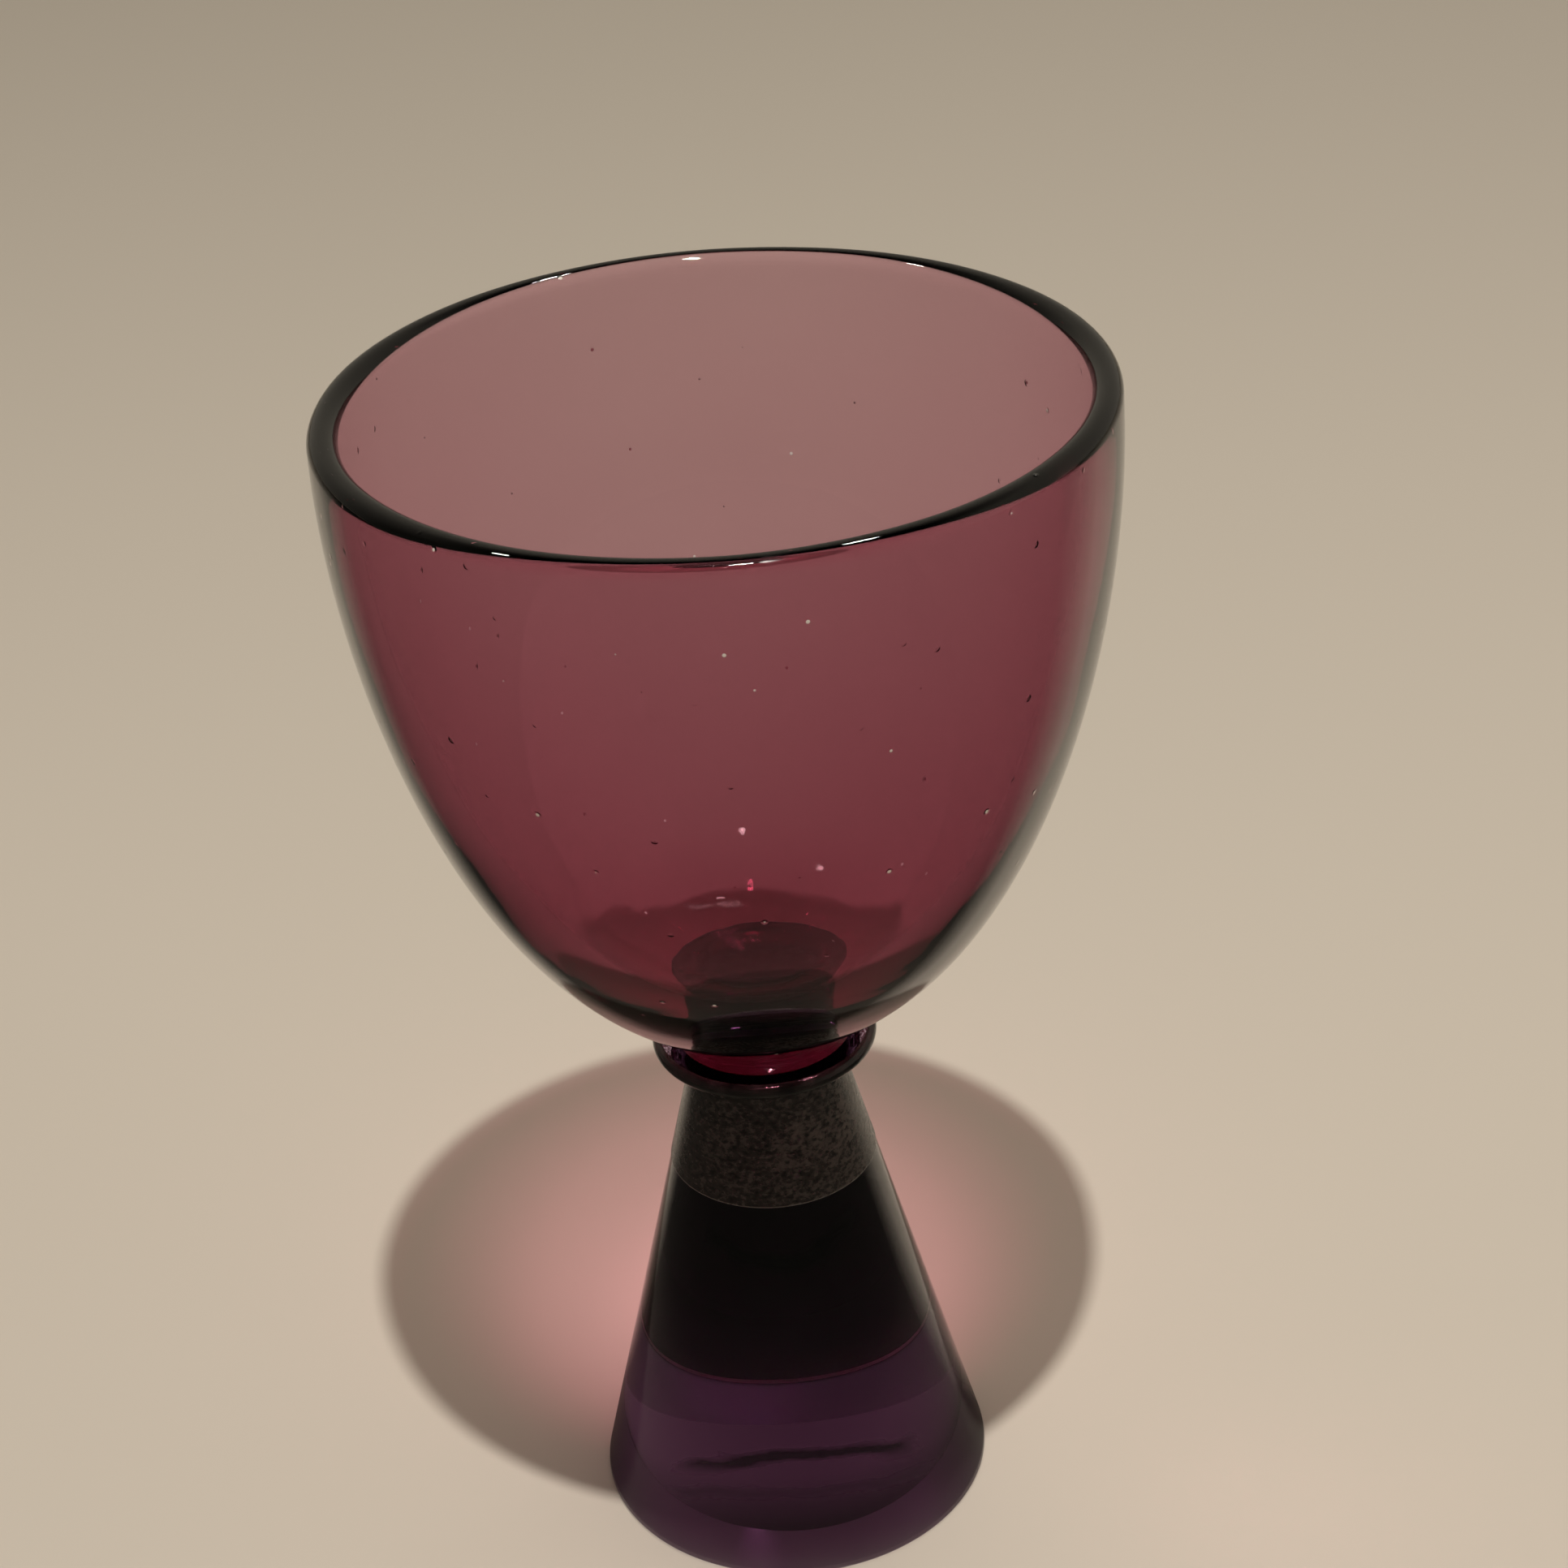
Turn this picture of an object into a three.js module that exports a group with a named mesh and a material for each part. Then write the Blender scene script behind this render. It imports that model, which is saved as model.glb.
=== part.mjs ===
// A stemmed drinking glass of four hot-worked glass pieces, stacked on one axis and fused face to face:
// a solid cone for a foot, a thin collar, a short button, and a thick-walled blown bowl.
// Millimetres, +Z up, origin at the middle of the ring that the foot stands on.
import * as THREE from 'three';

// Foot: a solid cone with a softened lower edge and a shallow round hollow ground into its underside
const footHeight = 73;
const footBaseRadius = 29.1;
const footTopRadius = 10.85;
const footEdgeRound = 0.6;
const hollowRadius = 16.2;
const hollowDepth = 0.6;

// Collar: a disc with a full round edge, dished below to meet the foot
const collarHeight = 4.75;
const collarRadius = 16;
const collarEdgeThickness = 2.2;
const collarDishCurve = 0.6;

// Button: a low waisted bead between the collar and the bowl
const buttonHeight = 3.45;
const buttonFootRadius = 12.6;
const buttonTopRadius = 10.35;
const buttonWaist = 0.5;

// Bowl: height is from its joint with the button to the start of its round lip
const bowlHeight = 92.4;
const rimRadius = 52;
const lipThickness = 4;
const floorThickness = 9;
const undersideRise = 17.2; // degrees, the slope at which the underside leaves the button
const undersideReach = 32.6;
const wallReach = 30.1;
const bellyBulge = 1.2;

// Facets: steps of a full turn, and steps along each curved stretch of a profile
const turnSteps = 64;
const bowlSteps = 16;
const lipSteps = 4;
const edgeSteps = 4;
const hollowSteps = 5;
const waistSteps = 5;
const floorSteps = 4;

const plumGlass = { color: 0x7a3440, roughness: 0.05, metalness: 0 };
const violetGlass = { color: 0x4e3358, roughness: 0.05, metalness: 0 };

// Turns a profile of (radius, height) points, drawn from the lower to the upper end of the axis, into a solid.
function turned(name, points, finish, height) {
  const geometry = new THREE.LatheGeometry(points, turnSteps);
  geometry.rotateX(Math.PI / 2);
  const mesh = new THREE.Mesh(geometry, new THREE.MeshStandardMaterial(finish));
  mesh.name = name;
  mesh.position.z = height;
  return mesh;
}

function arcPoints(x, y, radius, from, to, steps, clockwise = false) {
  return new THREE.EllipseCurve(x, y, radius, radius, from, to, clockwise).getPoints(steps);
}

function foot() {
  const flank = Math.atan2(footBaseRadius - footTopRadius, footHeight);
  const sphereRadius = (hollowRadius ** 2 + hollowDepth ** 2) / (2 * hollowDepth);
  const sphereHalf = Math.asin(hollowRadius / sphereRadius);
  const hollow = arcPoints(
    0, hollowDepth - sphereRadius, sphereRadius,
    Math.PI / 2, Math.PI / 2 - sphereHalf, hollowSteps, true,
  );
  hollow[0].x = 0;
  hollow[hollowSteps].set(hollowRadius, 0);
  const edgeMiddle = footBaseRadius - (footEdgeRound * (1 + Math.sin(flank))) / Math.cos(flank);
  const edge = arcPoints(edgeMiddle, footEdgeRound, footEdgeRound, -Math.PI / 2, flank, edgeSteps);
  edge[0].y = 0;
  return [
    ...hollow,
    ...edge,
    new THREE.Vector2(footTopRadius, footHeight),
    new THREE.Vector2(0, footHeight),
  ];
}

function collar() {
  const half = collarEdgeThickness / 2;
  const edgeMiddle = new THREE.Vector2(collarRadius - half, collarHeight - half);
  const dishEnd = new THREE.Vector2(edgeMiddle.x, collarHeight - collarEdgeThickness);
  const dishStart = new THREE.Vector2(footTopRadius, 0);
  const dishPull = new THREE.Vector2(
    THREE.MathUtils.lerp(dishEnd.x, dishStart.x, collarDishCurve),
    dishEnd.y,
  );
  const dish = new THREE.QuadraticBezierCurve(dishStart, dishPull, dishEnd).getPoints(edgeSteps);
  const edge = arcPoints(edgeMiddle.x, edgeMiddle.y, half, -Math.PI / 2, Math.PI / 2, 2 * edgeSteps);
  edge[2 * edgeSteps].y = collarHeight;
  return [
    new THREE.Vector2(0, 0),
    ...dish,
    ...edge.slice(1),
    new THREE.Vector2(0, collarHeight),
  ];
}

function button() {
  const waistRadius = Math.min(buttonFootRadius, buttonTopRadius) - buttonWaist;
  const waist = new THREE.QuadraticBezierCurve(
    new THREE.Vector2(buttonFootRadius, 0),
    new THREE.Vector2(waistRadius, buttonHeight / 2),
    new THREE.Vector2(buttonTopRadius, buttonHeight),
  );
  return [
    new THREE.Vector2(0, 0),
    ...waist.getPoints(waistSteps),
    new THREE.Vector2(0, buttonHeight),
  ];
}

// The outside is one curve from the joint to the lip; the inside lies one wall thickness in from it,
// thick over the joint and thinning to the lip, and closes to the axis with a rounded floor.
function bowl() {
  const rise = THREE.MathUtils.degToRad(undersideRise);
  const outside = new THREE.CubicBezierCurve(
    new THREE.Vector2(buttonTopRadius, 0),
    new THREE.Vector2(
      buttonTopRadius + undersideReach * Math.cos(rise),
      undersideReach * Math.sin(rise),
    ),
    new THREE.Vector2(rimRadius + bellyBulge, bowlHeight - wallReach),
    new THREE.Vector2(rimRadius, bowlHeight),
  );
  const insidePoint = (t) => {
    const wall = THREE.MathUtils.lerp(floorThickness, lipThickness, Math.sqrt(t));
    const along = outside.getTangent(t);
    return outside.getPoint(t).add(new THREE.Vector2(-along.y, along.x).multiplyScalar(wall));
  };
  const outer = outside.getPoints(bowlSteps);
  const inner = outer.map((_, step) => insidePoint(1 - step / bowlSteps));
  const lipStart = outer[bowlSteps];
  const lipMiddle = lipStart.clone().lerp(inner[0], 0.5);
  const lipAngle = Math.atan2(lipStart.y - lipMiddle.y, lipStart.x - lipMiddle.x);
  const lip = arcPoints(
    lipMiddle.x, lipMiddle.y, lipThickness / 2, lipAngle, lipAngle + Math.PI, 2 * lipSteps,
  );
  const floorEdge = inner[bowlSteps];
  const floorMiddle = floorEdge.y - (floorEdge.x * Math.tan(rise)) / 2;
  const floor = new THREE.QuadraticBezierCurve(
    floorEdge,
    new THREE.Vector2(floorEdge.x / 2, floorMiddle),
    new THREE.Vector2(0, floorMiddle),
  ).getPoints(floorSteps);
  return [
    new THREE.Vector2(0, 0),
    ...outer,
    ...lip.slice(1, -1),
    ...inner,
    ...floor.slice(1),
  ];
}

const collarBottom = footHeight;
const buttonBottom = collarBottom + collarHeight;
const bowlBottom = buttonBottom + buttonHeight;

const goblet = new THREE.Group();
goblet.add(
  turned('foot', foot(), violetGlass, 0),
  turned('collar', collar(), violetGlass, collarBottom),
  turned('bowl_button', button(), plumGlass, buttonBottom),
  turned('bowl', bowl(), plumGlass, bowlBottom),
);

export default goblet;
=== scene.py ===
# %% [markdown]
# A goblet of solid and blown glass
#
# The real glass is four gathers of hot glass, each stuck to the last while both were soft: a solid
# violet cone, a thin collar, a low button and a thick plum bowl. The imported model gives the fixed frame
# with every piece at its real size. This lesson dresses that frame: each faceted solid is replaced by a
# smooth turned mesh of the same size, and the colour is put where real tinted glass has it, in the body
# of the glass and not on its skin.

# %% Load the frame and keep its box
import math
import random
import bmesh
import bpy
from mathutils import Matrix, Vector, noise
from mathutils.geometry import interpolate_bezier


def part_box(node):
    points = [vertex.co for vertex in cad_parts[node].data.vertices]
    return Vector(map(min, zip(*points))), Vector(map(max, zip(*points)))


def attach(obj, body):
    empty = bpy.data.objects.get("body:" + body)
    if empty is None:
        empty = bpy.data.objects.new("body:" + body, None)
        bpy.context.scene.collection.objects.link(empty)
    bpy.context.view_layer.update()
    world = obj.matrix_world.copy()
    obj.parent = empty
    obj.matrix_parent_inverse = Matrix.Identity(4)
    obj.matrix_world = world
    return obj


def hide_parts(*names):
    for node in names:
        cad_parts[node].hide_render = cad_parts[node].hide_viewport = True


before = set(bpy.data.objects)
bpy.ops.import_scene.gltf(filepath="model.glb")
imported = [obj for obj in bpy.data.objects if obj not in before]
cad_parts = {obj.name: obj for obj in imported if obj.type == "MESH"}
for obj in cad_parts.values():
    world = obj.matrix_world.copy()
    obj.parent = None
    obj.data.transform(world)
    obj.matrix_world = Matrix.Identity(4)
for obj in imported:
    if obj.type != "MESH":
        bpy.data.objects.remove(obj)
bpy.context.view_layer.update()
scene = bpy.context.scene
MM = 0.001
print("frame nodes:", sorted(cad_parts))

# %% [markdown]
# The camera
#
# The photograph looks down into the bowl from close by, a little off level. A camera fitted to the
# outline of the rim, the belly and the foot gives the distance, height, angles and focal length below.
# They could also be found by eye with the viewport's camera lock, but a fit keeps the rim's ellipse true.

# %% Photograph's camera
PHOTO_SIDE = 1932
FOCAL_PIXELS = 3949.9
SENSOR = 36.0
NEAR_CLIP = 0.01
CAMERA_BACK = 379.74 * MM
CAMERA_UP = 333.62 * MM
CAMERA_PITCH = math.radians(29.728)
CAMERA_YAW = math.radians(0.804)
CAMERA_ROLL = math.radians(-4.134)


def photo_camera():
    data = bpy.data.cameras.new("photo_camera")
    data.sensor_width = SENSOR
    data.lens = FOCAL_PIXELS / PHOTO_SIDE * SENSOR
    data.clip_start = NEAR_CLIP
    camera = bpy.data.objects.new("photo_camera", data)
    ahead = math.cos(CAMERA_PITCH)
    forward = Vector((math.sin(CAMERA_YAW) * ahead, math.cos(CAMERA_YAW) * ahead, -math.sin(CAMERA_PITCH)))
    level = forward.cross(Vector((0, 0, 1))).normalized()
    raised = level.cross(forward)
    right = math.cos(CAMERA_ROLL) * level + math.sin(CAMERA_ROLL) * raised
    up = right.cross(forward)
    turn = Matrix((right, up, -forward)).transposed().to_4x4()
    camera.matrix_world = Matrix.Translation((0, -CAMERA_BACK, CAMERA_UP)) @ turn
    scene.collection.objects.link(camera)
    return camera


scene.camera = photo_camera()
print("camera lens in mm:", round(scene.camera.data.lens, 1))

# %% [markdown]
# The floor
#
# The goblet stands on a plain pale surface. Clear glass shows whatever lies behind it, so the floor is
# part of how the glass looks: a warm, pale, slightly satin surface lets the plum and the violet read. It
# lies a hair below the foot, so that the two faces never share one place.

# %% Pale floor
FLOOR_HALF = 30.0
FLOOR_DROP = 0.05 * MM
FLOOR_COLOUR = (0.635, 0.575, 0.5, 1)
FLOOR_ROUGHNESS = 0.55


def new_material(name):
    """A new material with its node tree and its Principled shader."""
    material = bpy.data.materials.new(name)
    material.use_nodes = True
    tree = material.node_tree
    return material, tree, tree.nodes["Principled BSDF"]


def flat_sheet(name, half, height, material):
    """A square sheet of one face that lies level at this height."""
    shape = bmesh.new()
    bmesh.ops.create_grid(shape, x_segments=1, y_segments=1, size=half)
    mesh = bpy.data.meshes.new(name)
    shape.to_mesh(mesh)
    shape.free()
    mesh.materials.append(material)
    sheet = bpy.data.objects.new(name, mesh)
    sheet.location.z = height
    scene.collection.objects.link(sheet)
    return sheet


def pale_floor():
    material, _, shader = new_material("pale_floor")
    shader.inputs["Base Color"].default_value = FLOOR_COLOUR
    shader.inputs["Roughness"].default_value = FLOOR_ROUGHNESS
    floor = flat_sheet("floor", FLOOR_HALF, -FLOOR_DROP, material)


pale_floor()
print("floor side in m:", 2 * FLOOR_HALF)

# %% [markdown]
# Drawing with nodes
#
# Every finish in this lesson is drawn by shader nodes, with no image. A few short helpers keep that
# readable: they add a node, do sums, spread a stretch of values over another, measure a length and give
# noise that sticks to the piece. The same could be wired by hand in the shader editor.

# %% Node helpers
def add_node(tree, kind, **inputs):
    """Adds a shader node of this kind and sets its inputs, with underscores for spaces in their names."""
    made = tree.nodes.new("ShaderNode" + kind)
    for name, value in inputs.items():
        made.inputs[name.replace("_", " ")].default_value = value
    return made


def combine(tree, how, first, second):
    """A Math node on two sockets, or on a socket and a number."""
    made = add_node(tree, "Math")
    made.operation = how
    for place, source in zip(made.inputs, (first, second)):
        if isinstance(source, (int, float)):
            place.default_value = source
        else:
            tree.links.new(source, place)
    return made.outputs[0]


def spread(tree, source, low, high, start=0, end=1):
    """The stretch of source from low to high, spread from start to end and held there beyond it."""
    made = add_node(tree, "MapRange", From_Min=low, From_Max=high, To_Min=start, To_Max=end)
    tree.links.new(source, made.inputs["Value"])
    return made.outputs["Result"]


def object_place(tree):
    """Object coordinates, whole and split into X, Y and Z."""
    place = add_node(tree, "TexCoord").outputs["Object"]
    split = add_node(tree, "SeparateXYZ")
    tree.links.new(place, split.inputs[0])
    return place, split.outputs


def mapped(tree, vector, **moves):
    """The vector after a Mapping node with these moves."""
    made = add_node(tree, "Mapping", **moves)
    tree.links.new(vector, made.inputs["Vector"])
    return made.outputs["Vector"]


def length_of(tree, vector):
    made = add_node(tree, "VectorMath")
    made.operation = "LENGTH"
    tree.links.new(vector, made.inputs[0])
    return made.outputs["Value"]


def cloud(tree, scale, detail, squeeze=(1, 1, 1)):
    """Noise on Object coordinates, squeezed along an axis to draw streaks."""
    place, _ = object_place(tree)
    made = add_node(tree, "TexNoise", Scale=scale, Detail=detail)
    tree.links.new(mapped(tree, place, Scale=squeeze), made.inputs["Vector"])
    return made.outputs["Fac"]


node_helpers = (add_node, combine, spread, object_place, mapped, length_of, cloud)
print("node helpers:", [helper.__name__ for helper in node_helpers])

# %% [markdown]
# The lamps
#
# Glass has no look of its own: it shows the light and the dark around it. One small lamp overhead, a
# little to the front, gives the shadow. Three faint discs that light nothing but mirrors give the bright
# spots in the lip and the bowl, as the small bulbs of a room do.

# %% Lamps
LAMP_SIZE = 0.028
LAMP_PLACE = Vector((0.05, -0.35, 1.34))
LAMP_AIM = Vector((0, 0, 0.08))
LAMP_POWER = 12.3
LAMP_COLOUR = (1.0, 0.95, 0.88)
GLINT_PLACES = ((0.055, -0.355, 1.36), (0.25, 0.54, 1.3), (-0.75, 0.27, 1.45))
GLINT_SIZE = 0.085
GLINT_POWER = 2


def soft_lamp(name, place, size, power):
    """A round lamp that points at the bottom of the bowl."""
    data = bpy.data.lights.new(name, "AREA")
    data.shape = "DISK"
    data.size = size
    data.energy = power
    data.color = LAMP_COLOUR
    lamp = bpy.data.objects.new(name, data)
    lamp.location = place
    lamp.rotation_euler = (LAMP_AIM - place).to_track_quat("-Z", "Y").to_euler()
    scene.collection.objects.link(lamp)
    return lamp


soft_lamp("overhead", LAMP_PLACE, LAMP_SIZE, LAMP_POWER)
for spot in GLINT_PLACES:
    glint = soft_lamp("glint", Vector(spot), GLINT_SIZE, GLINT_POWER)
    glint.visible_diffuse = False

# %% [markdown]
# The surroundings
#
# They are pale behind the goblet, which lights the violet low in the foot. They are dim in front and dark
# overhead, which draws the dark line in the lip and keeps the upper foot deep. Mirrored rays see them
# dimmer, so that the skin of the glass stays clear. A panorama picture could do the same, but a few nodes
# can be set to fit the photograph.

# %% Surroundings
PALE_SIDE = (0.86, 0.77, 0.62, 1)
PALE_BELOW = 0.68
DARK_TOP = (0.02, 0.0195, 0.019, 1)
DARK_ABOVE = 0.88
FRONT_SHARE = 0.2
FRONT_TO_BACK = (-0.35, 0.45)
MIRROR_SHARE = 0.35
BRIGHT_SIDE = math.radians(-35)


def surroundings():
    world = bpy.data.worlds.new("surroundings")
    scene.world = world
    world.use_nodes = True
    tree = world.node_tree
    sight = add_node(tree, "TexCoord").outputs["Generated"]
    split = add_node(tree, "SeparateXYZ")
    tree.links.new(mapped(tree, sight, Rotation=(0, 0, -BRIGHT_SIDE)), split.inputs[0])
    heights = add_node(tree, "ValToRGB")
    low, high = heights.color_ramp.elements
    low.position, low.color = PALE_BELOW, PALE_SIDE
    high.position, high.color = DARK_ABOVE, DARK_TOP
    tree.links.new(split.outputs["Z"], heights.inputs["Fac"])
    behind = spread(tree, split.outputs["Y"], *FRONT_TO_BACK, FRONT_SHARE, 1)
    ray = add_node(tree, "LightPath")
    mirrored = combine(tree, "MULTIPLY", ray.outputs["Is Glossy Ray"], ray.outputs["Is Reflection Ray"])
    strength = combine(tree, "MULTIPLY", behind, spread(tree, mirrored, 0, 1, 1, MIRROR_SHARE))
    sky = tree.nodes["Background"]
    tree.links.new(heights.outputs["Color"], sky.inputs["Color"])
    tree.links.new(strength, sky.inputs["Strength"])


surroundings()
print("surroundings:", scene.world.name, "with a share of", FRONT_SHARE, "in front")

# %% [markdown]
# The dark cloth
#
# A lit floor in front of polished glass lays a grey veil on it. A studio hides it behind black cloth, out
# of the picture. The cloth here lies on the floor round the foot and only mirrored rays meet it, so the
# floor stays pale. It is open behind, which leaves the bright edges of the bowl, and a little paler close
# to the foot, where the underside of the bowl mirrors it.

# %% Dark cloth
CLOTH_HALF = 4.0
CLOTH_HEIGHT = 1 * MM
CLOTH_ROUGHNESS = 0.9
CLOTH_NEAR = (0.13, 0.115, 0.095, 1)
CLOTH_FAR = (0.045, 0.041, 0.035, 1)
CLOTH_DARKENS = (0.05, 0.11)
CLOTH_START = (0.0286, 0.0288)
CLOTH_OPENING = (math.radians(48), math.radians(69))
CLOTH_TURN = math.radians(-10)


def cloth_material():
    material, tree, shader = new_material("dark_cloth")
    shader.inputs["Roughness"].default_value = CLOTH_ROUGHNESS
    place, _ = object_place(tree)
    away = length_of(tree, place)
    shade = add_node(tree, "MixRGB", Color1=CLOTH_NEAR, Color2=CLOTH_FAR)
    tree.links.new(spread(tree, away, *CLOTH_DARKENS), shade.inputs["Fac"])
    tree.links.new(shade.outputs["Color"], shader.inputs["Base Color"])
    split = add_node(tree, "SeparateXYZ")
    tree.links.new(mapped(tree, place, Rotation=(0, 0, -CLOTH_TURN)), split.inputs[0])
    aside = combine(tree, "ABSOLUTE", split.outputs["X"], 0)
    ahead = spread(tree, combine(tree, "ARCTAN2", aside, split.outputs["Y"]), *CLOTH_OPENING)
    clear = add_node(tree, "BsdfTransparent")
    either = add_node(tree, "MixShader")
    tree.links.new(combine(tree, "MULTIPLY", spread(tree, away, *CLOTH_START), ahead), either.inputs["Fac"])
    tree.links.new(clear.outputs["BSDF"], either.inputs[1])
    tree.links.new(shader.outputs["BSDF"], either.inputs[2])
    tree.links.new(either.outputs["Shader"], tree.nodes["Material Output"].inputs["Surface"])
    return material


def dark_cloth():
    cloth = flat_sheet("dark_cloth", CLOTH_HALF, CLOTH_HEIGHT, cloth_material())
    cloth.visible_camera = cloth.visible_diffuse = False
    cloth.visible_transmission = cloth.visible_shadow = False
    return cloth


print("staged for mirrors alone:", dark_cloth().name)

# %% [markdown]
# Light paths
#
# A ray that enters the goblet crosses many skins before it leaves: two for each wall, and more where it is
# mirrored inside the foot. With the usual limits such rays end early and leave black patches, so they may
# go on for longer here. Colours are shown as they are, with no film look laid over them.

# %% Light paths
BOUNCES = 40
BOUNCES_THROUGH_GLASS = 36
BOUNCES_OFF_GLASS = 12
CLEAR_SKINS = 24
scene.view_settings.view_transform = "Standard"
scene.cycles.max_bounces = BOUNCES
scene.cycles.transmission_bounces = BOUNCES_THROUGH_GLASS
scene.cycles.glossy_bounces = BOUNCES_OFF_GLASS
scene.cycles.transparent_max_bounces = CLEAR_SKINS
print("bounces:", BOUNCES, "of them through glass:", BOUNCES_THROUGH_GLASS)

# %% [markdown]
# Tinted glass
#
# The tint is a Volume Absorption inside the mesh, so a long way through the glass is darker than a short
# one, as in the real foot. The pieces were fused hot, so no air lies between them and light crosses a
# joint without bending. The faces of a joint carry an attribute called fused, which lowers the index
# there to that of no surface at all. Light from the lamp passes straight through to the floor, which
# gives a soft coloured shadow at once. Less of it passes where it only glances off the wall, which draws
# the shadow's dark rim. Tracing each bent ray to a small lamp would take far longer.

# %% Glass bodies
GLASS_INDEX = 1.5
NO_SURFACE = 1
SKIN_PASSES = 0.96
GLANCE = (0.42, 0.95)
PLUM_TAKEN = (90, 195, 160)
VIOLET_TAKEN = (55, 75, 57)


def tint_body(tree, taken):
    """Absorbs these shares of red, green and blue, each an exponent for one metre of glass."""
    density = max(taken)
    tint = add_node(tree, "VolumeAbsorption", Density=density)
    tint.inputs["Color"].default_value = (*[1 - t / density for t in taken], 1)
    tree.links.new(tint.outputs["Volume"], tree.nodes["Material Output"].inputs["Volume"])


def pass_lamp_light(tree, shader):
    """Lets rays to the lamps straight through, but for those that glance off the skin."""
    glance = add_node(tree, "LayerWeight")
    passing = add_node(tree, "BsdfTransparent")
    tree.links.new(spread(tree, glance.outputs["Facing"], *GLANCE, SKIN_PASSES, 0), passing.inputs["Color"])
    ray = add_node(tree, "LightPath")
    either = add_node(tree, "MixShader")
    tree.links.new(ray.outputs["Is Shadow Ray"], either.inputs["Fac"])
    tree.links.new(shader.outputs["BSDF"], either.inputs[1])
    tree.links.new(passing.outputs["BSDF"], either.inputs[2])
    tree.links.new(either.outputs["Shader"], tree.nodes["Material Output"].inputs["Surface"])


def tinted_glass(name, slot, taken):
    """Clear glass with this tint in its body, for a piece in this material slot."""
    material, tree, shader = new_material(name)
    material["slot"] = slot
    shader.inputs["Base Color"].default_value = (1, 1, 1, 1)
    shader.inputs["Transmission Weight"].default_value = 1
    shader.inputs["IOR"].default_value = GLASS_INDEX
    fused = add_node(tree, "Attribute")
    fused.name = fused.attribute_name = "fused"
    tree.links.new(spread(tree, fused.outputs["Fac"], 0, 1, GLASS_INDEX, NO_SURFACE), shader.inputs["IOR"])
    tint_body(tree, taken)
    pass_lamp_light(tree, shader)
    return material


print("glass index:", GLASS_INDEX, "plum takes", PLUM_TAKEN, "violet takes", VIOLET_TAKEN)

# %% [markdown]
# Film and skin
#
# Raw skin, dust and dried drops lie on the glass and hide part of what is behind them. They are one dull
# film, which takes the place of the clear glass where it lies. The same film also carries painted light:
# shade and a highlight line on the raw skin, glints in the bowl and a red glow on the button. The skin's
# roughness and relief are kept apart from it, because bare glass has them too. Neither belongs inside the
# glass, so both leave out the fused joints.

# %% Film and skin
def bare_share(tree):
    """1 on the skin of the glass and 0 on its fused joints."""
    return combine(tree, "SUBTRACT", 1, tree.nodes["fused"].outputs["Fac"])


def dull_film(material, where, mottle, dark, pale, hides):
    """A thin dull film: where says how much of it lies on the glass, and mottle goes from dark to pale."""
    tree = material.node_tree
    shader = tree.nodes["Principled BSDF"]
    cover = combine(tree, "MULTIPLY", where, bare_share(tree))
    shades = add_node(tree, "ValToRGB")
    shades.color_ramp.elements[0].color = (*dark, 1)
    shades.color_ramp.elements[1].color = (*pale, 1)
    skin = add_node(tree, "MixRGB", Color1=(1, 1, 1, 1))
    tree.links.new(mottle, shades.inputs["Fac"])
    tree.links.new(cover, skin.inputs["Fac"])
    tree.links.new(shades.outputs["Color"], skin.inputs["Color2"])
    tree.links.new(skin.outputs["Color"], shader.inputs["Base Color"])
    tree.links.new(spread(tree, cover, 0, 1, 1, 1 - hides), shader.inputs["Transmission Weight"])


def finish_skin(material, roughness, height, depth):
    """Gives the glass this roughness and this relief."""
    tree = material.node_tree
    shader = tree.nodes["Principled BSDF"]
    tree.links.new(combine(tree, "MULTIPLY", roughness, bare_share(tree)), shader.inputs["Roughness"])
    relief = add_node(tree, "Bump", Strength=1, Distance=depth)
    tree.links.new(height, relief.inputs["Height"])
    tree.links.new(relief.outputs["Normal"], shader.inputs["Normal"])


def lathe_rings(tree, place, **waves):
    """Rings round the Z axis, as a turning tool leaves them."""
    rings = add_node(tree, "TexWave", **waves)
    rings.wave_type = "RINGS"
    rings.rings_direction = "Z"
    tree.links.new(place, rings.inputs["Vector"])
    return rings.outputs["Fac"]


print("finish helpers:", [f.__name__ for f in (dull_film, finish_skin, lathe_rings)])

# %% [markdown]
# Half outlines
#
# Every piece is round, so each one starts as a half outline in the XZ plane, drawn as a turner draws a
# template. It is put together from straight lines, arcs and soft bends. Hot glass settles without corners,
# so an outline can also be softened from some point on.

# %% Outline helpers
def point(radius, height):
    return Vector((radius, 0, height))


def round_stretch(middle, radius, start, end, steps):
    """Points on an arc in the XZ plane, from the angle start to end in degrees above +X."""
    angles = [math.radians(start + (end - start) * i / steps) for i in range(steps + 1)]
    return [middle + radius * Vector((math.cos(a), 0, math.sin(a))) for a in angles]


def soft_bend(start, pull, end, points):
    """Points on the curve that leaves start towards pull and comes to end from pull."""
    return interpolate_bezier(start, start.lerp(pull, 2 / 3), end.lerp(pull, 2 / 3), end, points)


def softened(outline, first, rounds):
    """Takes the corners out of the outline from this point on to the axis, by averaging neighbours."""
    for _ in range(rounds):
        last = point(0, (outline[-1].z + outline[-2].z) / 2)
        middle = [(a + 2 * b + c) / 4 for a, b, c in zip(outline, outline[1:], outline[2:])]
        outline = [*outline[:first], *middle[first - 1:], last]
    return outline


print("outline helpers:", [f.__name__ for f in (point, round_stretch, soft_bend, softened)])

# %% [markdown]
# Turning
#
# The half outline is spun about the Z axis, as on a lathe. The doubled points on the axis are merged, and
# the normals are made to point out. A Screw modifier could do it too, but a spun mesh can be worked on at
# once. Glass that was shaped by breath and hand is never quite true, so soft waves can be worked into the
# skin, except close to a joint, which stays flat.

# %% Lathe
TURN_STEPS = 192
WELD = 0.0005 * MM
JOINT_CALM = 4 * MM


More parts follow.
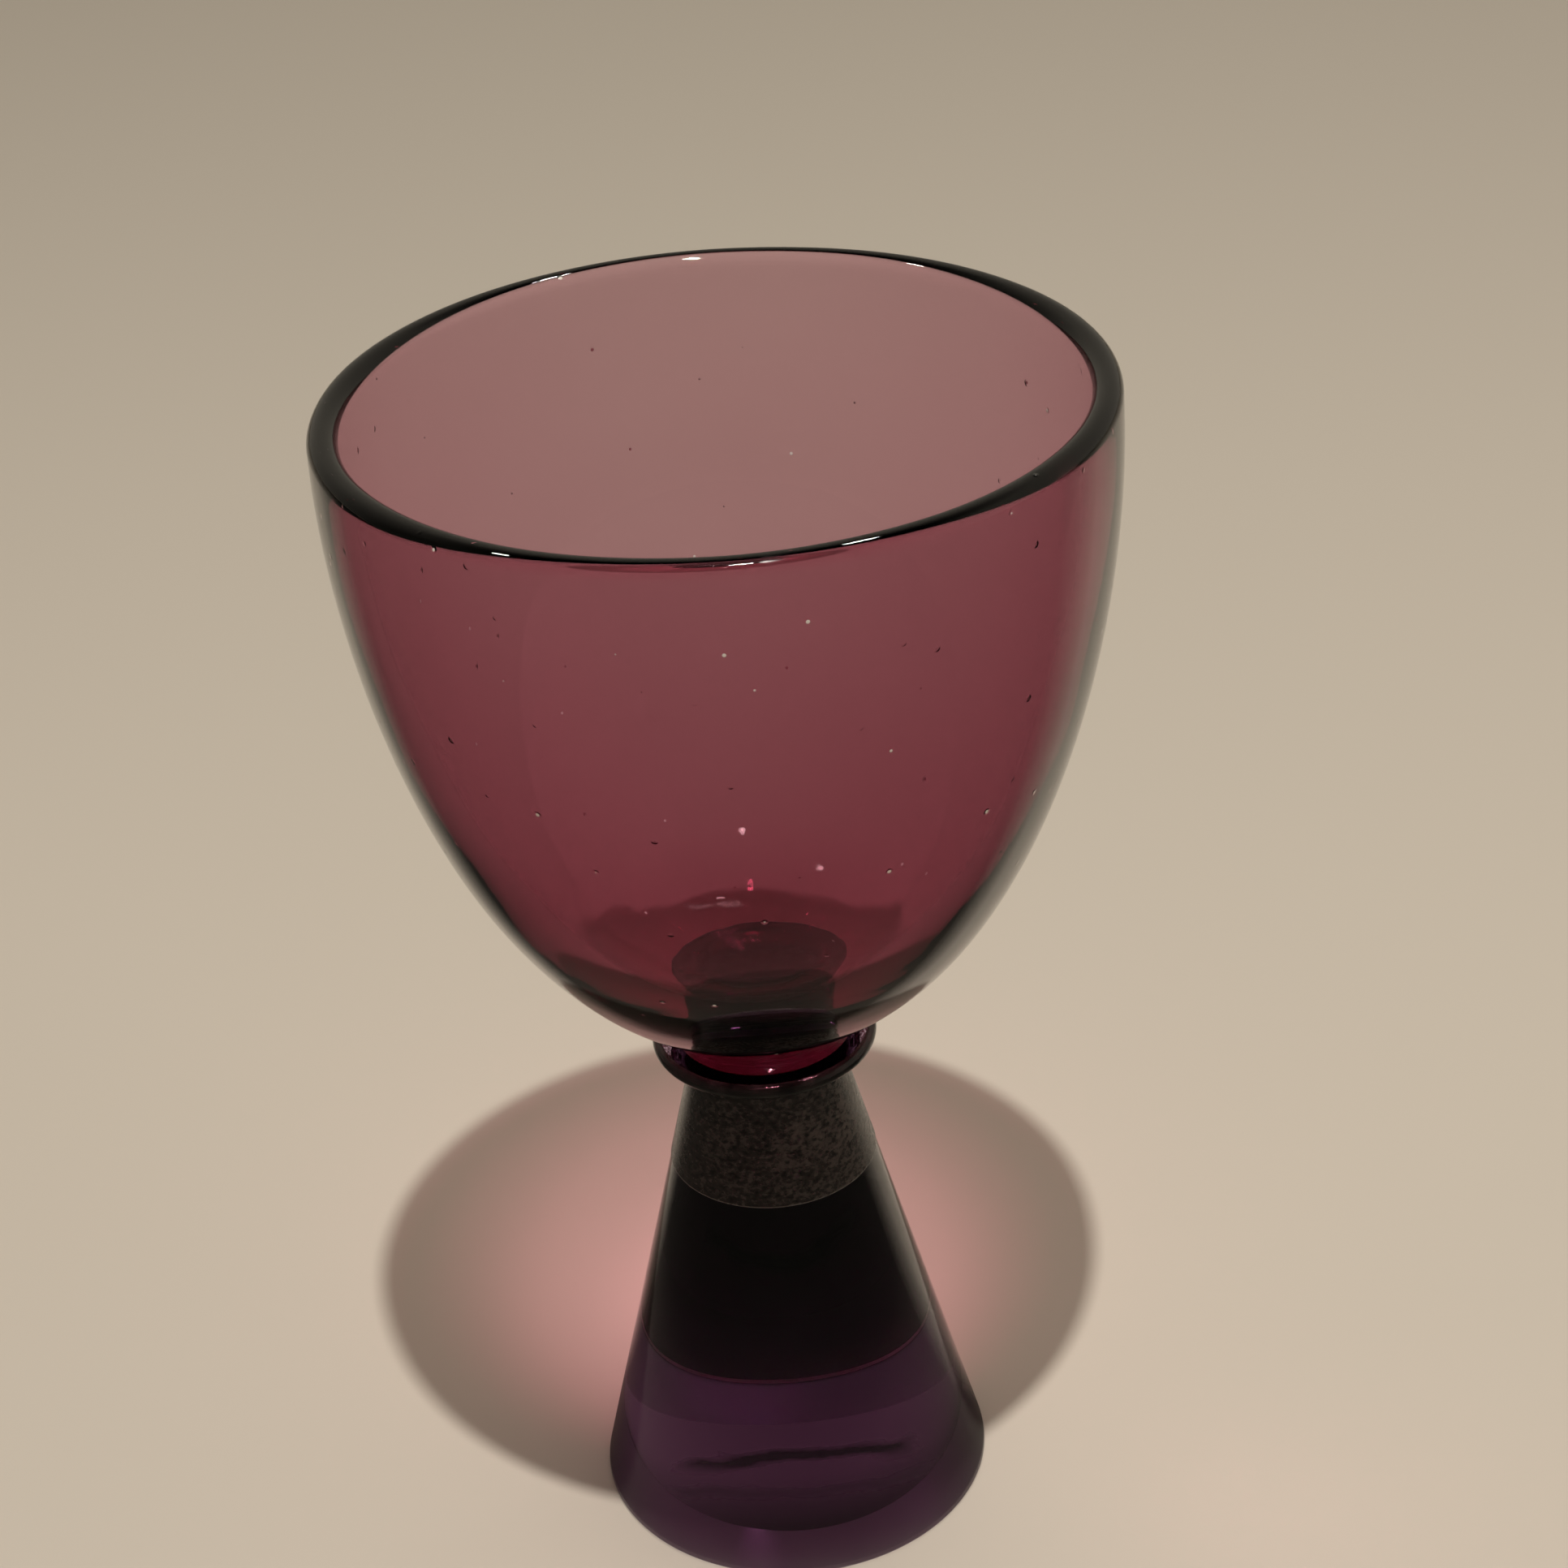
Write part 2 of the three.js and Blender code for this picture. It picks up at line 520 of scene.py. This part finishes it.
def turned(outline):
    """A bmesh of the outline spun right round, closed where it meets the axis."""
    shape = bmesh.new()
    verts = [shape.verts.new(p) for p in outline]
    edges = [shape.edges.new(pair) for pair in zip(verts, verts[1:])]
    bmesh.ops.spin(
        shape, geom=verts + edges, cent=(0, 0, 0), axis=(0, 0, 1), angle=2 * math.pi,
        steps=TURN_STEPS, use_merge=True,
    )
    bmesh.ops.remove_doubles(shape, verts=shape.verts, dist=WELD)
    bmesh.ops.recalc_face_normals(shape, faces=shape.faces)
    return shape


def hand_worked(shape, sway, length, joints):
    """Moves the skin in and out by up to sway, in soft waves of this length."""
    shape.normal_update()
    moves = []
    for vert in shape.verts:
        share = min(min(abs(vert.co.z - height) for height in joints) / JOINT_CALM, 1)
        moves.append(sway * share * noise.noise(vert.co / length) * vert.normal)
    for vert, move in zip(shape.verts, moves):
        vert.co += move


print("steps in a full turn:", TURN_STEPS)

# %% [markdown]
# From shape to piece
#
# A turned shape becomes a piece of the goblet when its joint faces are marked as fused, its corners are
# kept crisp and it takes the place of its node in the frame. A hair of space is left in each joint, too
# thin to see, so that no two faces share one place.

# %% Pieces
JOINT_GAP = 0.01 * MM
SAME_HEIGHT = 0.001 * MM
SAME_PLACE = 0.01 * MM
SHARP_ANGLE = math.radians(12)


def mark_joints(shape, joints):
    """Marks the flat faces at these heights as fused, and makes all other faces smooth."""
    fused = shape.faces.layers.float.new("fused")
    for face in shape.faces:
        face.smooth = True
        for height in joints:
            if all(abs(v.co.z - height) < SAME_HEIGHT for v in face.verts):
                face[fused] = 1
                face.smooth = False


def keep_crisp(mesh, crisp):
    """Keeps corners sharp, and the rings that run through these points of the half outline."""
    mesh.set_sharp_from_angle(angle=SHARP_ANGLE)
    for edge in mesh.edges:
        ends = [mesh.vertices[i].co for i in edge.vertices]
        ends = [point(co.xy.length, co.z) for co in ends]
        if any(all((end - ring).length < SAME_PLACE for end in ends) for ring in crisp):
            edge.use_edge_sharp = True


def glass_piece(name, shape, joints, glass, crisp=()):
    """Makes the piece of glass that replaces the frame's node of this name."""
    mark_joints(shape, joints)
    mesh = bpy.data.meshes.new(name)
    shape.to_mesh(mesh)
    shape.free()
    keep_crisp(mesh, crisp)
    mesh.materials.append(glass)
    piece = bpy.data.objects.new(name + "_glass", mesh)
    scene.collection.objects.link(piece)
    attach(piece, "root")
    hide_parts(name)
    print(piece.name, "faces:", len(mesh.polygons))


print("space in a joint in mm:", JOINT_GAP / MM)

# %% [markdown]
# The raw skin of the foot
#
# The flank of the foot is cut and polished up to a fine line. Above it the glass keeps its raw skin, which
# is dull, mottled and pitted. A pale line along its lower edge is a painted highlight, where the edge
# catches the light, and the skin is painted darker towards its left side, as painted shade. The skin is a
# film and a relief in the material, because its grain is finer than any face of the mesh.

# %% Raw skin
SKIN_BOTTOM = 56.5 * MM
SKIN_EDGE = 0.03 * MM
HIGHLIGHT_LINE_EDGE = 0.09 * MM
PATCH_NOISE = (150, 4)
PATCH_SHADES = (0.35, 0.65, 0.5, 1)
# Painted shade across the raw skin, darker on the left and paler on the right.
PAINTED_SHADE_SIDE = (-12 * MM, 12 * MM, 0.45, 1)
GRAIN_NOISE = (1150, 9, (1, 1, 1.5))
GRAIN_SHADES = (0.34, 0.68)
PIT_NOISE = (2600, 3, (1, 1, 2))
PIT_SHADES = (0.6, 0.7)


def raw_skin(tree, parts):
    """How much raw skin there is, its mottle with painted shade on the left side, and its dents with pits
    among them.
    """
    raw = spread(tree, parts["Z"], SKIN_BOTTOM - SKIN_EDGE, SKIN_BOTTOM + SKIN_EDGE)
    patches = spread(tree, cloud(tree, *PATCH_NOISE), *PATCH_SHADES)
    # Painted shade: the mottle is made darker towards the left side of the skin.
    side = combine(tree, "MULTIPLY", patches, spread(tree, parts["X"], *PAINTED_SHADE_SIDE))
    mottle = combine(tree, "MULTIPLY", spread(tree, cloud(tree, *GRAIN_NOISE), *GRAIN_SHADES), side)
    pits = spread(tree, cloud(tree, *PIT_NOISE), *PIT_SHADES)
    return raw, mottle, combine(tree, "SUBTRACT", mottle, pits)


# Painted highlight: a pale line along the lower edge of the raw skin, where the edge catches the light.
def painted_highlight_line(tree, parts):
    return spread(tree, parts["Z"], SKIN_BOTTOM + 2 * HIGHLIGHT_LINE_EDGE, SKIN_BOTTOM + HIGHLIGHT_LINE_EDGE)


print("raw skin starts at mm:", SKIN_BOTTOM / MM)

# %% [markdown]
# Marks in the hollow
#
# The underside of the foot has a shallow polished hollow. Two dull dark streaks are drawn in it, a bent one
# behind and a fainter straight one in front. They show dark through the glass.
# Each is a line in the material that wanders a little, because a true line would look drawn.

# %% Marks in the hollow
WANDER_NOISE = (150, 3)
WANDER = (0.3, 0.7, -1.3 * MM, 1.3 * MM)
BENT_MIDDLE = (0.2 * MM, -6.4 * MM)
BENT_RADIUS = 12 * MM
BENT_HALF = (2.4 * MM, 0.8 * MM)
BENT_ENDS = (-1 * MM, 3 * MM)
STRAIGHT_LINE = -5.6 * MM
STRAIGHT_HALF = (2 * MM, 0.4 * MM)
STRAIGHT_SHARE = 0.5
MARKS_REACH = (16.1 * MM, 14 * MM)
MARKS_TOP = (0.8 * MM, 0.7 * MM)


def near(tree, source, middle, half, share=1):
    """This share where source lies close to middle, falling off to none at the first half width."""
    off = combine(tree, "SUBTRACT", source, middle)
    return spread(tree, combine(tree, "ABSOLUTE", off, 0), *half, 0, share)


def hollow_marks(tree, place, parts):
    wander = spread(tree, cloud(tree, *WANDER_NOISE), *WANDER)
    off_middle = mapped(tree, place, Location=(-BENT_MIDDLE[0], -BENT_MIDDLE[1], 0), Scale=(1, 1, 0))
    away = combine(tree, "ADD", length_of(tree, off_middle), wander)
    bent = near(tree, away, BENT_RADIUS, BENT_HALF)
    bent = combine(tree, "MULTIPLY", bent, spread(tree, parts["Y"], *BENT_ENDS))
    across = combine(tree, "ADD", parts["Y"], wander)
    straight = near(tree, across, STRAIGHT_LINE, STRAIGHT_HALF, STRAIGHT_SHARE)
    marks = combine(tree, "MAXIMUM", bent, straight)
    marks = combine(tree, "MULTIPLY", marks, spread(tree, length_of(tree, place), *MARKS_REACH))
    return combine(tree, "MULTIPLY", marks, spread(tree, parts["Z"], *MARKS_TOP))


print("marks end at mm from the axis:", MARKS_REACH[0] / MM)

# %% [markdown]
# The finish of the foot
#
# The polished flank has faint wiped streaks. The ring that the foot stands on is left matt by the grinding
# wheel, so it shows a deeper violet through the glass than the clear hollow inside it. The raw skin with
# its painted shade and painted highlight line, and the marks in the hollow, share one film.

# %% Violet cut glass
RAW_ROUGHNESS = (0.18, 0.48)
RAW_RELIEF = 0.03 * MM
# The dark end also gives the painted shade on the left side of the raw skin.
RAW_DARK_AND_SHADE = (0.006, 0.0058, 0.0048)
# The pale end also gives the painted highlight line along the lower edge of the raw skin.
RAW_PALE_AND_HIGHLIGHT = (0.085, 0.081, 0.067)
RAW_HIDES = 0.85
WIPED_NOISE = (70, 5)
WIPED_ROUGHNESS = (0.5, 0.8, 0, 0.02)
GROUND_RING = (0.02 * MM, 0.01 * MM, 0, 0.35)


def cut_violet_glass():
    material = tinted_glass("cut_violet_glass", "violet_glass", VIOLET_TAKEN)
    tree = material.node_tree
    place, parts = object_place(tree)
    raw, mottle, dents = raw_skin(tree, parts)
    raw_rough = combine(tree, "MULTIPLY", spread(tree, mottle, 0, 1, *RAW_ROUGHNESS), raw)
    wiped = spread(tree, cloud(tree, *WIPED_NOISE), *WIPED_ROUGHNESS)
    ground = spread(tree, parts["Z"], *GROUND_RING)
    rough = combine(tree, "MAXIMUM", combine(tree, "MAXIMUM", raw_rough, wiped), ground)
    finish_skin(material, rough, combine(tree, "MULTIPLY", dents, raw), RAW_RELIEF)
    # The film's shade is the dents plus the painted highlight line.
    shade = combine(tree, "ADD", dents, painted_highlight_line(tree, parts))
    film = combine(tree, "MAXIMUM", raw, hollow_marks(tree, place, parts))
    dull_film(material, film, combine(tree, "MULTIPLY", shade, raw), RAW_DARK_AND_SHADE, RAW_PALE_AND_HIGHLIGHT, RAW_HIDES)
    return material


violet_cut = cut_violet_glass()
print("foot finish:", violet_cut.name)

# %% [markdown]
# The violet foot
#
# A solid cone that stands on a flat ring, with a soft lower edge. Seen through the glass, the edge of the
# hollow draws the curved line low in the foot, so that edge is kept crisp. The cut flank lies a hair lower
# than the raw skin, which draws the fine line between them. The lower edge is rounded with a bevel, as a
# grinder breaks an edge.

# %% Foot
FOOT_BASE_RADIUS = 29.1 * MM
FOOT_TOP_RADIUS = 10.85 * MM
FOOT_EDGE_ROUND = 0.6 * MM
FOOT_EDGE_STEPS = 10
HOLLOW_RADIUS = 16.2 * MM
HOLLOW_DEPTH = 0.6 * MM
HOLLOW_STEPS = 24
SKIN_STEP = 0.12 * MM
SKIN_ROWS = 44
foot_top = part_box("foot")[1].z


def hollow_outline():
    """The hollow is the cap of a large sphere, drawn from the axis out to the standing ring."""
    sphere = (HOLLOW_RADIUS**2 + HOLLOW_DEPTH**2) / (2 * HOLLOW_DEPTH)
    half_angle = math.degrees(math.asin(HOLLOW_RADIUS / sphere))
    hollow = round_stretch(point(0, HOLLOW_DEPTH - sphere), sphere, 90, 90 - half_angle, HOLLOW_STEPS)
    hollow[0].x = 0
    return hollow


def round_lower_edge(shape):
    def on_edge(vert):
        return abs(vert.co.xy.length - FOOT_BASE_RADIUS) < SAME_PLACE and abs(vert.co.z) < SAME_HEIGHT

    ring = [edge for edge in shape.edges if all(on_edge(vert) for vert in edge.verts)]
    bmesh.ops.bevel(
        shape, geom=ring, offset=FOOT_EDGE_ROUND, offset_type="OFFSET", segments=FOOT_EDGE_STEPS,
        profile=0.5, affect="EDGES", material=-1,
    )


def foot_shape():
    top = foot_top - JOINT_GAP
    base_edge, top_edge = point(FOOT_BASE_RADIUS, 0), point(FOOT_TOP_RADIUS, top)
    skin_edge = base_edge.lerp(top_edge, SKIN_BOTTOM / top)
    cut_edge = skin_edge - point(SKIN_STEP, SKIN_STEP)
    skin = [skin_edge.lerp(top_edge, i / SKIN_ROWS) for i in range(SKIN_ROWS + 1)]
    shape = turned([*hollow_outline(), base_edge, cut_edge, *skin, point(0, top)])
    round_lower_edge(shape)
    return shape, [top]


glass_piece("foot", *foot_shape(), violet_cut, crisp=[point(HOLLOW_RADIUS, 0)])

# %% [markdown]
# The finish of the collar
#
# The collar looks nearly black although it is thin, so its glass is tinted deeper than the foot's. The
# tool that pressed it left fine rings and a trace of dullness in its skin.

# %% Violet pressed glass
COLLAR_DEPTH = 2
PRESSED_RINGS = {"Scale": 480, "Distortion": 6, "Detail": 3}
PRESSED_RING_SHARE = 0.3
PRESSED_NOISE = (520, 3)
PRESSED_RELIEF = 0.05 * MM
DULL_NOISE = (420, 5)
DULL_ROUGHNESS = (0.35, 0.7, 0.03, 0.14)
DULL_SHADES = (0.3, 0.7)
DULL_DARK = (0.01, 0.0105, 0.009)
DULL_PALE = (0.05, 0.052, 0.044)
DULL_HIDES = 0.25


def pressed_violet_glass():
    deeper = [COLLAR_DEPTH * t for t in VIOLET_TAKEN]
    material = tinted_glass("pressed_violet_glass", "violet_glass", deeper)
    tree = material.node_tree
    place, _ = object_place(tree)
    dull = cloud(tree, *DULL_NOISE)
    ridges = combine(tree, "MULTIPLY", lathe_rings(tree, place, **PRESSED_RINGS), PRESSED_RING_SHARE)
    relief = combine(tree, "ADD", ridges, cloud(tree, *PRESSED_NOISE))
    finish_skin(material, spread(tree, dull, *DULL_ROUGHNESS), relief, PRESSED_RELIEF)
    dull_film(material, 1, spread(tree, dull, *DULL_SHADES), DULL_DARK, DULL_PALE, DULL_HIDES)
    return material


violet_pressed = pressed_violet_glass()
print("collar finish:", violet_pressed.name)

# %% [markdown]
# The collar
#
# A thin disc of violet glass, pressed between foot and bowl, with a full round edge and a dished underside
# that runs down to the foot. Its upper face is a joint as far as the button reaches.

# %% Collar
BUTTON_FOOT_RADIUS = 12.6 * MM
COLLAR_RADIUS = 16 * MM
COLLAR_EDGE = 2.2 * MM
COLLAR_EDGE_STEPS = 20
COLLAR_DISH_CURVE = 0.6
COLLAR_DISH_POINTS = 16
collar_bottom, collar_top = (corner.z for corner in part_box("collar"))


def collar_shape():
    bottom, top = collar_bottom + JOINT_GAP, collar_top - JOINT_GAP
    half = COLLAR_EDGE / 2
    middle = point(COLLAR_RADIUS - half, collar_top - half)
    start, end = point(FOOT_TOP_RADIUS, bottom), point(middle.x, middle.z - half)
    pull = point(end.x + (start.x - end.x) * COLLAR_DISH_CURVE, end.z)
    dish = soft_bend(start, pull, end, COLLAR_DISH_POINTS)
    edge = round_stretch(middle, half, -90, 90, COLLAR_EDGE_STEPS)
    edge[-1].z = top
    shape = turned([point(0, bottom), *dish, *edge[1:], point(BUTTON_FOOT_RADIUS, top), point(0, top)])
    return shape, [bottom, top]


glass_piece("collar", *collar_shape(), violet_pressed)

# %% [markdown]
# The button
#
# A low, waisted bead of plum glass that carries the bowl on the collar. It was squeezed while soft, so its
# skin has small waves, which break the light into short glints. A faint red film on its skin is a painted
# glow, in place of the red light that the lamp sends into it through the bowl.

# %% Button
BUTTON_TOP_RADIUS = 10.35 * MM
BUTTON_WAIST = 0.5 * MM
BUTTON_SIDE_POINTS = 16
SQUEEZED_NOISE = (260, 3, (1, 1, 3))
SQUEEZED_RELIEF = 0.07 * MM
GATHERED_NOISE = (300, 4)
GATHERED_ROUGHNESS = (0.4, 0.8, 0, 0.1)
# Painted glow: a faint red film on the button's skin.
PAINTED_GLOW_NOISE = (300, 3)
PAINTED_GLOW_DARK = (0.2, 0.015, 0.05)
PAINTED_GLOW_PALE = (0.45, 0.04, 0.12)
PAINTED_GLOW_HIDES = 0.11
button_bottom, button_top = (corner.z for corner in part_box("bowl_button"))


def gathered_plum_glass():
    material = tinted_glass("gathered_plum_glass", "plum_glass", PLUM_TAKEN)
    tree = material.node_tree
    rough = spread(tree, cloud(tree, *GATHERED_NOISE), *GATHERED_ROUGHNESS)
    finish_skin(material, rough, cloud(tree, *SQUEEZED_NOISE), SQUEEZED_RELIEF)
    # Painted glow: the red film stands in for light sent into the button through the bowl.
    dull_film(material, 1, cloud(tree, *PAINTED_GLOW_NOISE), PAINTED_GLOW_DARK, PAINTED_GLOW_PALE, PAINTED_GLOW_HIDES)
    return material


def button_shape():
    bottom, top = button_bottom + JOINT_GAP, button_top - JOINT_GAP
    start, end = point(BUTTON_FOOT_RADIUS, bottom), point(BUTTON_TOP_RADIUS, top)
    waist = min(BUTTON_FOOT_RADIUS, BUTTON_TOP_RADIUS) - BUTTON_WAIST
    side = soft_bend(start, point(waist, (bottom + top) / 2), end, BUTTON_SIDE_POINTS)
    return turned([point(0, bottom), *side, point(0, top)]), [bottom, top]


glass_piece("bowl_button", *button_shape(), gathered_plum_glass())

# %% [markdown]
# The finish of the bowl
#
# Blown glass is bright and smooth. The turning pipe leaves faint rings in the floor of the bowl, and use
# leaves wiped streaks, drips and a few dried drops. A drop is a low dome in the relief, and the dry rest in
# its middle is a pale fleck of film, which is also a painted glint in place of the small bright spots of
# the lamps. Both come from one pattern of spots, so that they lie on each other.

# %% Plum blown glass
WIPED_BOWL_NOISE = (45, 6)
WIPED_BOWL_ROUGHNESS = (0.52, 0.8, 0, 0.05)
DRIP_NOISE = (95, 2, (1, 1, 0.35))
DRIP_ROUGHNESS = (0.68, 0.74, 0, 0.14)
STREAK_NOISE = (120, 2, (1, 1, 0.3))
STREAK_SHARE = 0.1
SPOT_SCALE = 135
DROP_REACH = 0.07
# Pale flecks of dried drops, which also serve as painted glints.
FLECK_AND_GLINT_REACH = (0.04, 0.03)
FLECK_AND_GLINT_NOISE = (900, 2)
FLECK_AND_GLINT_DARK = (0.6, 0.56, 0.5)
FLECK_AND_GLINT_PALE = (0.9, 0.86, 0.8)
FLECK_AND_GLINT_HIDES = 0.9
PIPE_RINGS = {"Scale": 110, "Distortion": 2, "Detail": 2}
PIPE_RING_HEIGHTS = (104 * MM, 92 * MM, 0, 0.08)
BLOWN_RELIEF = 0.1 * MM


def spot_distance(tree, place):
    """How far each place is from the nearest spot, in shares of the space between spots."""
    spots = add_node(tree, "TexVoronoi", Scale=SPOT_SCALE)
    tree.links.new(place, spots.inputs["Vector"])
    return spots.outputs["Distance"]


def blown_relief(tree, place, parts, distance):
    away = spread(tree, distance, 0, DROP_REACH)
    drops = combine(tree, "SUBTRACT", 1, combine(tree, "MULTIPLY", away, away))
    streaks = combine(tree, "MULTIPLY", cloud(tree, *STREAK_NOISE), STREAK_SHARE)
    low = spread(tree, parts["Z"], *PIPE_RING_HEIGHTS)
    turns = combine(tree, "MULTIPLY", lathe_rings(tree, place, **PIPE_RINGS), low)
    return combine(tree, "ADD", combine(tree, "ADD", streaks, drops), turns)


def blown_plum_glass():
    material = tinted_glass("blown_plum_glass", "plum_glass", PLUM_TAKEN)
    tree = material.node_tree
    place, parts = object_place(tree)
    distance = spot_distance(tree, place)
    wiped = spread(tree, cloud(tree, *WIPED_BOWL_NOISE), *WIPED_BOWL_ROUGHNESS)
    drips = spread(tree, cloud(tree, *DRIP_NOISE), *DRIP_ROUGHNESS)
    rough = combine(tree, "MAXIMUM", wiped, drips)
    finish_skin(material, rough, blown_relief(tree, place, parts, distance), BLOWN_RELIEF)
    # Pale flecks of dried drops, which also serve as painted glints.
    flecks_and_glints = spread(tree, distance, *FLECK_AND_GLINT_REACH)
    dull_film(material, flecks_and_glints, cloud(tree, *FLECK_AND_GLINT_NOISE), FLECK_AND_GLINT_DARK, FLECK_AND_GLINT_PALE, FLECK_AND_GLINT_HIDES)
    return material


plum_blown = blown_plum_glass()
print("bowl finish:", plum_blown.name)

# %% [markdown]
# The wall of the bowl
#
# Its outside is one long curve from the button to the lip. The inside lies a wall's thickness in from it,
# thick over the button and thinner towards the lip. A Solidify modifier gives only one thickness, so the
# inside is worked out point by point.

# %% Bowl wall
RIM_RADIUS = 52 * MM
LIP_THICKNESS = 4 * MM
FLOOR_THICKNESS = 9 * MM
UNDERSIDE_RISE = math.radians(17.2)
UNDERSIDE_REACH = 32.6 * MM
WALL_REACH = 30.1 * MM
BELLY_BULGE = 1.2 * MM
BOWL_HEIGHT = 92.4 * MM
BOWL_STEPS = 64
bowl_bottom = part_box("bowl")[0].z


def bowl_wall():
    """The outside and the inside of the bowl, from the joint up to the lip."""
    start = point(BUTTON_TOP_RADIUS, bowl_bottom + JOINT_GAP)
    rise = UNDERSIDE_REACH * point(math.cos(UNDERSIDE_RISE), math.sin(UNDERSIDE_RISE))
    lip_start = point(RIM_RADIUS, bowl_bottom + BOWL_HEIGHT)
    upright = lip_start + point(BELLY_BULGE, -WALL_REACH)
    outside = interpolate_bezier(start, start + rise, upright, lip_start, BOWL_STEPS + 1)
    inside = []
    for i, place in enumerate(outside):
        along = (outside[min(i + 1, BOWL_STEPS)] - outside[max(i - 1, 0)]).normalized()
        wall = FLOOR_THICKNESS + (LIP_THICKNESS - FLOOR_THICKNESS) * math.sqrt(i / BOWL_STEPS)
        inside.append(place + wall * point(-along.z, along.x))
    return outside, inside


outside, inside = bowl_wall()
print("points up the wall:", len(outside))

# %% [markdown]
# The seeds
#
# Blown glass keeps a few seeds, the small bubbles that never rose out of the melt. Each seed is a small
# ball inside the wall whose faces point into it, because inside it there is air. They are placed at random
# from a fixed start, so that every run gives the same bowl.

# %% Seeds
SEED_COUNT = 24
SEED_SIZES = (0.07 * MM, 0.18 * MM)
SEED_DRAW = 5
SEED_LOWEST_STEP = 8
SEED_DEPTHS = (0.3, 0.7)


def add_seeds(shape):
    draw = random.Random(SEED_DRAW)
    for _ in range(SEED_COUNT):
        step = draw.randrange(SEED_LOWEST_STEP, BOWL_STEPS)
        place = outside[step].lerp(inside[step], draw.uniform(*SEED_DEPTHS))
        turn = Matrix.Rotation(draw.uniform(0, 2 * math.pi), 4, "Z")
        ball = bmesh.ops.create_icosphere(
            shape, subdivisions=2, radius=draw.uniform(*SEED_SIZES), matrix=turn @ Matrix.Translation(place))
        faces = {face for vert in ball["verts"] for face in vert.link_faces}
        bmesh.ops.reverse_faces(shape, faces=list(faces))


print("seeds:", SEED_COUNT)

# %% [markdown]
# The bowl
#
# Thick blown glass, its lip rounded by the flame. The inside closes with a low bed over the joint, and is
# softened where the wall runs into that bed. The waves of the breath are worked in before the seeds, which
# stay round.

# %% Bowl
LIP_STEPS = 24
BED_POINTS = 12
SOFTENED_STEPS = 12
SOFTENING_ROUNDS = 24
BOWL_SWAY = 0.08 * MM
BOWL_WAVE = 22 * MM


def lip_outline():
    middle = (outside[-1] + inside[-1]) / 2
    lean = outside[-1] - middle
    angle = math.degrees(math.atan2(lean.z, lean.x))
    return round_stretch(middle, LIP_THICKNESS / 2, angle, angle + 180, LIP_STEPS)


def inner_outline():
    """The inside from the lip down to the bed and in to the axis."""
    edge = inside[0]
    floor_height = edge.z - edge.x * math.tan(UNDERSIDE_RISE) / 2
    bed = soft_bend(edge, point(edge.x / 2, floor_height), point(0, floor_height), BED_POINTS)
    return softened([*reversed(inside), *bed[1:]], BOWL_STEPS - SOFTENED_STEPS, SOFTENING_ROUNDS)


def bowl_shape():
    bottom = outside[0].z
    shape = turned([point(0, bottom), *outside, *lip_outline()[1:-1], *inner_outline()])
    hand_worked(shape, BOWL_SWAY, BOWL_WAVE, [bottom])
    add_seeds(shape)
    return shape, [bottom]


glass_piece("bowl", *bowl_shape(), plum_blown)
